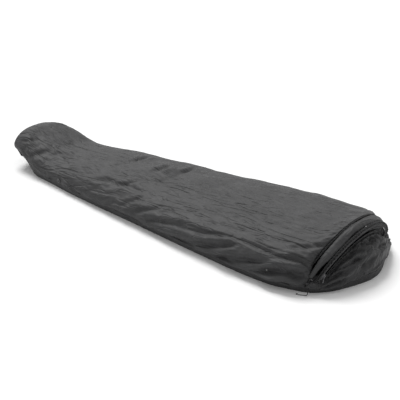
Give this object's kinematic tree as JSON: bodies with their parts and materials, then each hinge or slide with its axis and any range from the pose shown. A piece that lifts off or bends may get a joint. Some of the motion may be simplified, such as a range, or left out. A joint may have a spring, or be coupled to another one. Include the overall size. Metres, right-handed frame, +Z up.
{
  "type": "bivy sack",
  "caption": "Tapered hooded bivy sack, lofted, with a raised toe box, tub floor, padded storm collar, parted zip at the mouth and a locking drawcord.",
  "frame": {"origin": "centre of the floor's footprint, on the surface that the sack rests on (without the free cord)", "axes": "+X from the foot to the head, +Y to the sleeper's left when lying on the back, +Z up"},
  "size_m": [2.1001, 0.7126, 0.2306],
  "materials": {
    "shell_cloth": "charcoal coated ripstop, matte with a soft sheen",
    "floor_cloth": "darker coated floor cloth",
    "binding_tape": "black woven binding",
    "zip_tape": "black woven zip tape",
    "nylon_coil": "black nylon coil",
    "black_plastic": "black moulded plastic",
    "dark_metal": "black-painted zinc, worn on its edges",
    "spring_steel": "bright drawn wire",
    "cord_braid": "black braided cord",
    "seal_tape": "clear heat-sealed seam tape over grey cloth",
    "label_cloth": "plain pale woven label, blank"
  },
  "bodies": {
    "sack": {"top_shell": "shell_cloth", "floor_panel": "floor_cloth", "floor_side_near": "floor_cloth", "floor_side_far": "floor_cloth", "floor_head_near": "floor_cloth", "floor_head_far": "floor_cloth", "foot_panel": "shell_cloth", "storm_collar": "shell_cloth", "collar_binding_rear": "binding_tape", "collar_binding_front": "binding_tape", "zip_tape_upper": "zip_tape", "zip_coil_upper": "nylon_coil", "zip_stop_near": "dark_metal", "zip_stop_far": "dark_metal", "drawcord_run": "cord_braid", "drawcord_eyelet": "dark_metal", "drawcord_tail": "cord_braid", "cord_knot": "cord_braid", "grommet_near": "black_plastic", "grommet_washer_near": "dark_metal", "grommet_far": "black_plastic", "grommet_washer_far": "dark_metal", "seam_tape_near": "seal_tape", "seam_tape_far": "seal_tape", "seam_tape_foot": "seal_tape", "care_label": "label_cloth"},
    "hood": {"hood_shell": "shell_cloth", "zip_tape_lower": "zip_tape", "zip_coil_lower": "nylon_coil"},
    "zip_slider": {"zip_slider": "dark_metal"},
    "zip_puller": {"zip_puller": "dark_metal"},
    "cord_lock": {"cord_lock_body": "black_plastic", "cord_lock_spring": "spring_steel"},
    "cord_lock_plunger": {"cord_lock_plunger": "black_plastic"}
  },
  "joints": [
    {"name": "zip_slide", "type": "hinge", "parent": "sack", "child": "zip_slider", "pos_m": [0.88228, 0, -0.11535], "axis": [-0.9455, 0, 0.3256], "range_deg": [0, 102]},
    {"name": "puller_swing", "type": "hinge", "parent": "zip_slider", "child": "zip_puller", "pos_m": [0.95314, -0.24869, 0.07323], "axis": [0.2049, -0.7771, 0.595], "range_deg": [-20, 150]},
    {"name": "cord_lock_slide", "type": "slide", "parent": "sack", "child": "cord_lock", "axis": [0.0873, -0.4801, -0.8729], "range_m": [0, 0.008]},
    {"name": "cord_lock_press", "type": "slide", "parent": "cord_lock", "child": "cord_lock_plunger", "axis": [-0.9962, -0.0421, -0.0765], "range_m": [0, 0.005], "stiffness_N_per_m": 500, "springref_m": -0.002, "deforming": ["cord_lock_spring"]},
    {"name": "hood_lift", "type": "hinge", "parent": "sack", "child": "hood", "pos_m": [1.0502, 0, 0.0284], "axis": [0, 1, 0], "range_deg": [0, 80]}
  ]
}
